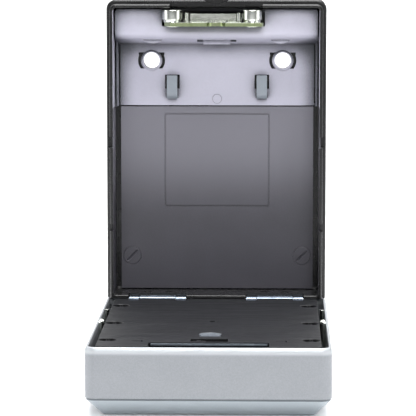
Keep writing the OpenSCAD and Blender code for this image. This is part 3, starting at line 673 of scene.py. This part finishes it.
def housing_cuts():
    """Room for the door's end wall, the striker and the hinges, and the gaps and holes."""
    front, swing_y, striker_half_w = TRAY_RIM_Y - 1, -19.35, 22
    screw_x, screw_z = STRIKER_SCREW
    # The room under the floor, the recess over the striker, the gap in the rim there, and the scallop
    cuts = [
        block((-60, front, -74), (60, swing_y, -68.85)),
        block((-striker_half_w, front, 68.7), (striker_half_w, -14, 70.2)),
        block((-striker_half_w, front, 68.7), (striker_half_w, FLANGE_Y, 71.5)),
        post(0, 80.9, front, FLANGE_Y + 1.2, 10, sides=96),
    ]
    # On each side: the leaf's slot, the knuckles' gap, the rim's gaps, and the leaf, wall and striker holes
    for s in SIDES:
        x = s * HINGE_X
        cuts += [
            block((x - 8.7, front, -69.75), (x + 8.7, -9.9, -68.45)),
            block((x - HINGE_HALF_W, front, -70), (x + HINGE_HALF_W, swing_y, -66.9)),
            rim_gap(s, LUG_GAP, 2.3),
            rim_gap(s, STUB_GAP, 0),
            *(bar((x + d, -14, -68.5), (x + d, -14, -65), 1.9) for d in (-5, 5)),
            *(post(s * hole_x, hole_z, -4, 1, 3.9) for hole_x, hole_z in WALL_HOLES),
            post(s * screw_x, screw_z, -4, 1, 1.3),
            post(s * screw_x, screw_z, -1.2, 1, 2.6),
        ]
    return cuts


def wall_pocket(side):
    """A shallow relief in the housing's wall side, with a round pad left at each hole."""
    pocket = loft("pocket", [(18, -64, 66, 4, -0.7), (18, -64, 66, 4, 1)])
    pocket.data.transform(Matrix.Translation((side * 27, 0, 0)))
    pads = [(*hole, 8) for hole in WALL_HOLES] + [(*STRIKER_SCREW, 5.2)]
    return carve(pocket, [post(side * x, z, -2, 2, r) for x, z, r in pads])


def liner_wall(side, low, high, room=0.0):
    """A liner's side wall, let into the housing's rim; room makes the pocket for it."""
    a, b = sorted((side * (48.8 - room), side * (49.55 + room)))
    return block((a, -25.6 - room, low), (b, -5 + room, high))


def rear_housing(material):
    """The black housing: a flange, a raised rim with rounded edges and the space for the keys."""
    flange, rim, inside = (52.1, -73, 73, 4.5), (50.5, -73, 71, 3.2), (48.9, -67.4, 69.2, 1.6)
    sections = [
        *reversed(rounding(flange, 0, 0.5, 0.5, -1, 3)),
        *rounding(flange, FLANGE_Y, 0.9, 0.9, 1, 5),
        at(rim, FLANGE_Y),
        *rounding(rim, TRAY_RIM_Y, 0.8, 0.8, 1, 5),
        *reversed(rounding(inside, TRAY_RIM_Y, -0.5, 0.5, 1, 4)),
        at(inside, BACK_Y - 0.6),
        at(inside, BACK_Y - 0.17, 0.17),
        at(inside, BACK_Y, 0.6),
    ]
    body = loft("rear_housing_cast", sections)
    carve(body, housing_cuts())
    carve(body, [wall_pocket(s) for s in SIDES])
    carve(body, [liner_wall(s, -66.8, 69.1, 0.08) for s in SIDES])
    put_in_place(body, "rear_housing", material, swung=False)


def liner_walls(name, node, low, high, material):
    """Both side walls of one liner, with the gaps for the door's lugs and pin stubs."""
    walls = carve(liner_wall(-1, low, high), [liner_wall(1, low, high)], "UNION")
    gaps = [(z, half_h + 0.1) for z, half_h in (LUG_GAP, STUB_GAP)]
    carve(walls, [block((-52, -26, z - half_h), (52, -19, z + half_h)) for z, half_h in gaps])
    walls.name = name
    put_in_place(walls, node, material, swung=False, stands_for=False)


def cover_adds(back_y):
    """The cover's hinge tongues, its ribs along the sides and the near end, and its screw cups."""
    rib_y, cup_y = -30, -27.1
    adds = []
    for s in SIDES:
        hinge, side, end = s * HINGE_X, s * 47.5, s * 36.6
        adds += [
            block((hinge - 8.75, back_y, -68.15), (hinge + 8.75, RIM_Y - 0.001, -63.7)),
            block((side - 0.6, rib_y, -58), (side + 0.6, back_y + 0.5, 66)),
            block((end - 9.5, rib_y, 67.6), (end + 9.5, back_y + 0.5, 68.8)),
            *(post(s * WELL_X, z, cup_y, back_y + 0.5, 4.25) for z in WELL_Z),
        ]
    return adds


def cover_cuts(back_y):
    """The cover's openings: knuckle notches, screw wells, corner marks, striker notch, slot and scoop."""
    front = RIM_Y + 1
    cuts = []
    for s in SIDES:
        for knuckle in (s * HINGE_X - 11.3, s * HINGE_X + 11.3):
            cuts.append(block((knuckle - 2.5, back_y - 1, -68), (knuckle + 2.5, front, -60.4)))
        for z in WELL_Z:
            cuts += [
                post(s * WELL_X, z, -25.9, front, 3.75),
                post(s * WELL_X, z, RIM_Y - 0.3, RIM_Y + 0.05, 3.74, 4.1),
                post(s * WELL_X, z, -28, -25, 1.35),
            ]
        mark = s * 31
        cuts += [
            block((mark - 2.4, RIM_Y - 0.3, 54), (mark + 2.4, front, 54.7)),
            block((mark + 1.7, RIM_Y - 0.3, 54.7), (mark + 2.4, front, 58)),
        ]
    scoop_z, scoop_y = 36.3, RIM_Y - 0.9
    cuts += [
        block((-25.8, -31, 59), (25.8, front, 70)),
        block((-8.1, -26, 49.5), (8.1, front, 56.5)),
        post(0, scoop_z, scoop_y, RIM_Y + 0.02, 4, 5.2, sides=64),
        block((-4.6, scoop_y, scoop_z), (4.6, front, scoop_z + 6.4)),
        post(0, 1.3, RIM_Y - 0.5, front, 1.35),
    ]
    return cuts


def inner_cover(material):
    """The door's plastic inner cover, with eased edges."""
    plate, back_y = (48.1, -65.7, 68.8, 1.2), RIM_Y - 2
    sections = [at(plate, back_y), *rounding(plate, RIM_Y, 0.35, 0.35, -1, 4)]
    cover = loft("inner_cover_moulding", sections)
    carve(cover, cover_adds(back_y), "UNION")
    carve(cover, cover_cuts(back_y))
    put_in_place(cover, "inner_cover", material, swung=True)


# ---- Printed digits ----

DIGIT_H = 4.6
DIGIT_T = 0.03
DIGIT_WIDEN = 1.15
CAPITAL_SHARE = 0.7
BEND_STEPS = 16


def flat_digit(digit):
    """One figure as a thin flat mesh, in millimetres, cut across so that it can bend."""
    text = bpy.data.curves.new("digit", "FONT")
    text.body = str(digit)
    text.align_x = "CENTER"
    text.align_y = "CENTER"
    text.size = DIGIT_H / CAPITAL_SHARE
    text.extrude = DIGIT_T
    text.resolution_u = 6
    holder = bpy.data.objects.new("digit", text)
    bpy.context.scene.collection.objects.link(holder)
    mesh = bpy.data.meshes.new_from_object(holder.evaluated_get(bpy.context.evaluated_depsgraph_get()))
    bpy.data.objects.remove(holder)
    bm = bmesh.new()
    bm.from_mesh(mesh)
    for step in range(1, BEND_STEPS):
        level = (0, (step / BEND_STEPS - 0.5) * DIGIT_H, 0)
        parts = [*bm.verts, *bm.edges, *bm.faces]
        bmesh.ops.bisect_plane(bm, geom=parts, plane_co=level, plane_no=(0, 1, 0))
    bm.to_mesh(mesh)
    bm.free()
    return mesh


def dial_digits(number, material):
    """The white figures 0 to 9 on one number ring, as thin raised print bent round it, 0 in the window."""
    node = f"number_ring_{number}"
    low, high = (Vector(corner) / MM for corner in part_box(node))
    middle, ring_r = (low + high) / 2, (high[1] - low[1]) / 2
    ring = bmesh.new()
    for digit in range(10):
        mesh = flat_digit(digit)
        for vertex in mesh.vertices:
            across, up, out = vertex.co
            turn = math.radians(36 * digit) + up / ring_r
            y, z = -(ring_r + out) * math.sin(turn), -(ring_r + out) * math.cos(turn)
            vertex.co = middle + Vector((across * DIGIT_WIDEN, y, z))
        ring.from_mesh(mesh)
    bmesh.ops.remove_doubles(ring, verts=ring.verts, dist=MERGE_DIST)
    digits = solid(f"dial_digits_{number}", ring)
    put_in_place(digits, node, material, swung=False, stands_for=False)


# ---- Edges of the CAD parts ----

EDGE_R = {
    "upper_liner": 0.2, "lower_liner": 0.25, "key_hooks": 0.6, "knockout_plugs": 0.2,
    "striker_plate": 0.15, "striker_posts": 0.35, "dial_fascia": 0.2,
    "shutter_cover": 0.35, "release_knob": 0.3, "side_lugs": 0.15, "code_change_slider": 0.2,
}
SMALL_EDGE_R = 0.08
# Merging the flat faces of this one bridges its holes
UNMERGED = {"upper_liner"}


def soften(obj, radius, merge):
    """Joins the mesh's split vertices, merges flat faces if asked to and rounds the edges."""
    weld = obj.modifiers.new("weld", "WELD")
    weld.merge_threshold = MERGE_DIST * MM
    if merge:
        flats = obj.modifiers.new("flats", "DECIMATE")
        flats.decimate_type = "DISSOLVE"
        flats.angle_limit = math.radians(0.5)
    round_off = obj.modifiers.new("round_off", "BEVEL")
    round_off.width = radius * MM
    round_off.segments = 3
    round_off.limit_method = "ANGLE"
    round_off.angle_limit = EDGE_ANGLE
    round_off.miter_outer = "MITER_ARC"
    round_off.use_clamp_overlap = True
    shade = obj.modifiers.new("shade", "WEIGHTED_NORMAL")
    shade.keep_sharp = True
    shade.weight = 80


# ---- Scene ----

REBUILT = {"door_shell": door_shell, "rear_housing": rear_housing, "inner_cover": inner_cover}

bpy.context.scene.view_settings.view_transform = "Standard"
make_camera()
make_world()
for light in SOFT_BOXES:
    soft_box(*light)

materials = make_materials()
make_floor(floor_paper())
for node, obj in NODES.items():
    obj.material_slots[0].material = materials[SLOT_OF[node]]
    if node not in REBUILT:
        soften(obj, EDGE_R.get(node, SMALL_EDGE_R), merge=node not in UNMERGED)
for node, make in REBUILT.items():
    make(materials[SLOT_OF[node]])
liner_walls("upper_liner_walls", "upper_liner", 21.9, 69, materials["light_plastic"])
liner_walls("lower_liner_walls", "lower_liner", -66.7, 21.4, materials["dark_plastic"])
for number in range(1, 5):
    dial_digits(number, materials["light_plastic"])
